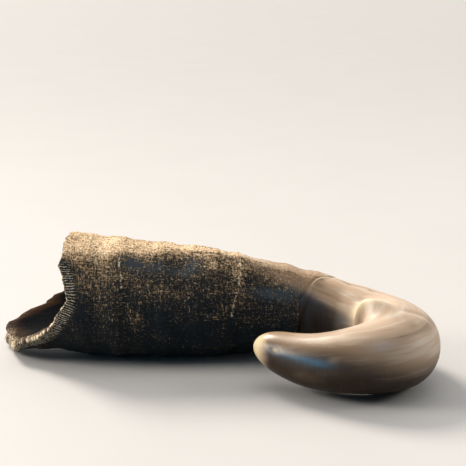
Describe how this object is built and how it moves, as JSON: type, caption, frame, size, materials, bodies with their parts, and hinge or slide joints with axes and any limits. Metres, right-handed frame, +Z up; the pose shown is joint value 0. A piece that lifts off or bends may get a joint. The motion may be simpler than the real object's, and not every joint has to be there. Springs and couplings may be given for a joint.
{
  "type": "buffalo horn",
  "caption": "Hollow buffalo horn sheath lying on its side, with a broken slanting rim, a rough body and a smooth tip hooked back along its front.",
  "frame": {"origin": "centre of the overall box on the surface the horn lies on", "axes": "+X from the broken rim towards the bend, +Y to the back, away from the hooked tip, +Z up"},
  "size_m": [0.3332, 0.163, 0.0955],
  "materials": {
    "horn": "natural keratin horn: rough, flaky dark brown and tan body, polished grey-brown bend and tip"
  },
  "bodies": {
    "root": {"horn_sheath": "horn"}
  },
  "joints": []
}
